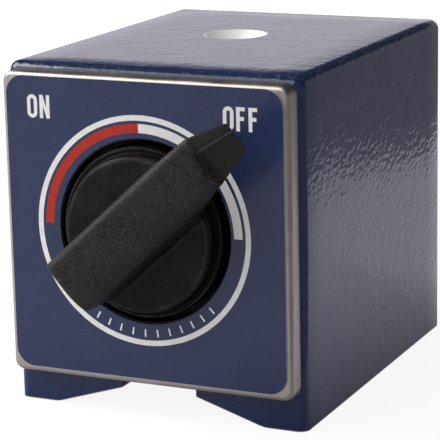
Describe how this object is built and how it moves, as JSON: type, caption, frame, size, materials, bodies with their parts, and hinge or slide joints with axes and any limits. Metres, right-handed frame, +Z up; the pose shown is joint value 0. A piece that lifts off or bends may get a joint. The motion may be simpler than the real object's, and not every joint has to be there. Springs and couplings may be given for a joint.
{
  "type": "magnetic base",
  "caption": "Switchable magnetic base: grooved steel body, rotary on-off knob with pointer, threaded hole on top for a column.",
  "frame": {"origin": "under the middle of the overall length and width, at the level of the feet", "axes": "+Z up through the column hole, -Y towards the knob and its user, +X to the user's right"},
  "size_m": [0.05, 0.0804, 0.055],
  "materials": {
    "blue_paint": "hammered",
    "spacer_brass": "satin",
    "bright_steel": "satin",
    "zinc_steel": "bright",
    "spring_steel": "satin",
    "printed_label": "printed",
    "knob_plastic": "fine grain",
    "cap_brass": "turned",
    "pole_iron": "turned",
    "ferrite": "ground"
  },
  "bodies": {
    "base": {"left_pole_block": "blue_paint", "right_pole_block": "blue_paint", "top_spacer": "spacer_brass", "bottom_spacer": "spacer_brass", "front_plate": "bright_steel", "front_plate_screws": "zinc_steel", "face_label": "printed_label", "stop_pin": "zinc_steel", "rear_cover": "bright_steel", "rear_cover_screws": "zinc_steel", "disc_spring": "spring_steel"},
    "switch": {"knob": "knob_plastic", "index_plate": "zinc_steel", "knob_screws": "zinc_steel", "drive_spindle": "zinc_steel", "rotor_front_cap": "cap_brass", "rotor_rear_cap": "cap_brass", "rotor_front_screws": "zinc_steel", "rotor_rear_screws": "zinc_steel", "rotor_magnet_front": "ferrite", "rotor_magnet_rear": "ferrite", "rotor_pole_upper": "pole_iron", "rotor_pole_lower": "pole_iron"}
  },
  "joints": [
    {"name": "knob_turn", "type": "hinge", "parent": "base", "child": "switch", "pos_m": [0, -0.02285, 0.03025], "axis": [0, -1, 0], "range_deg": [0, 90]}
  ]
}
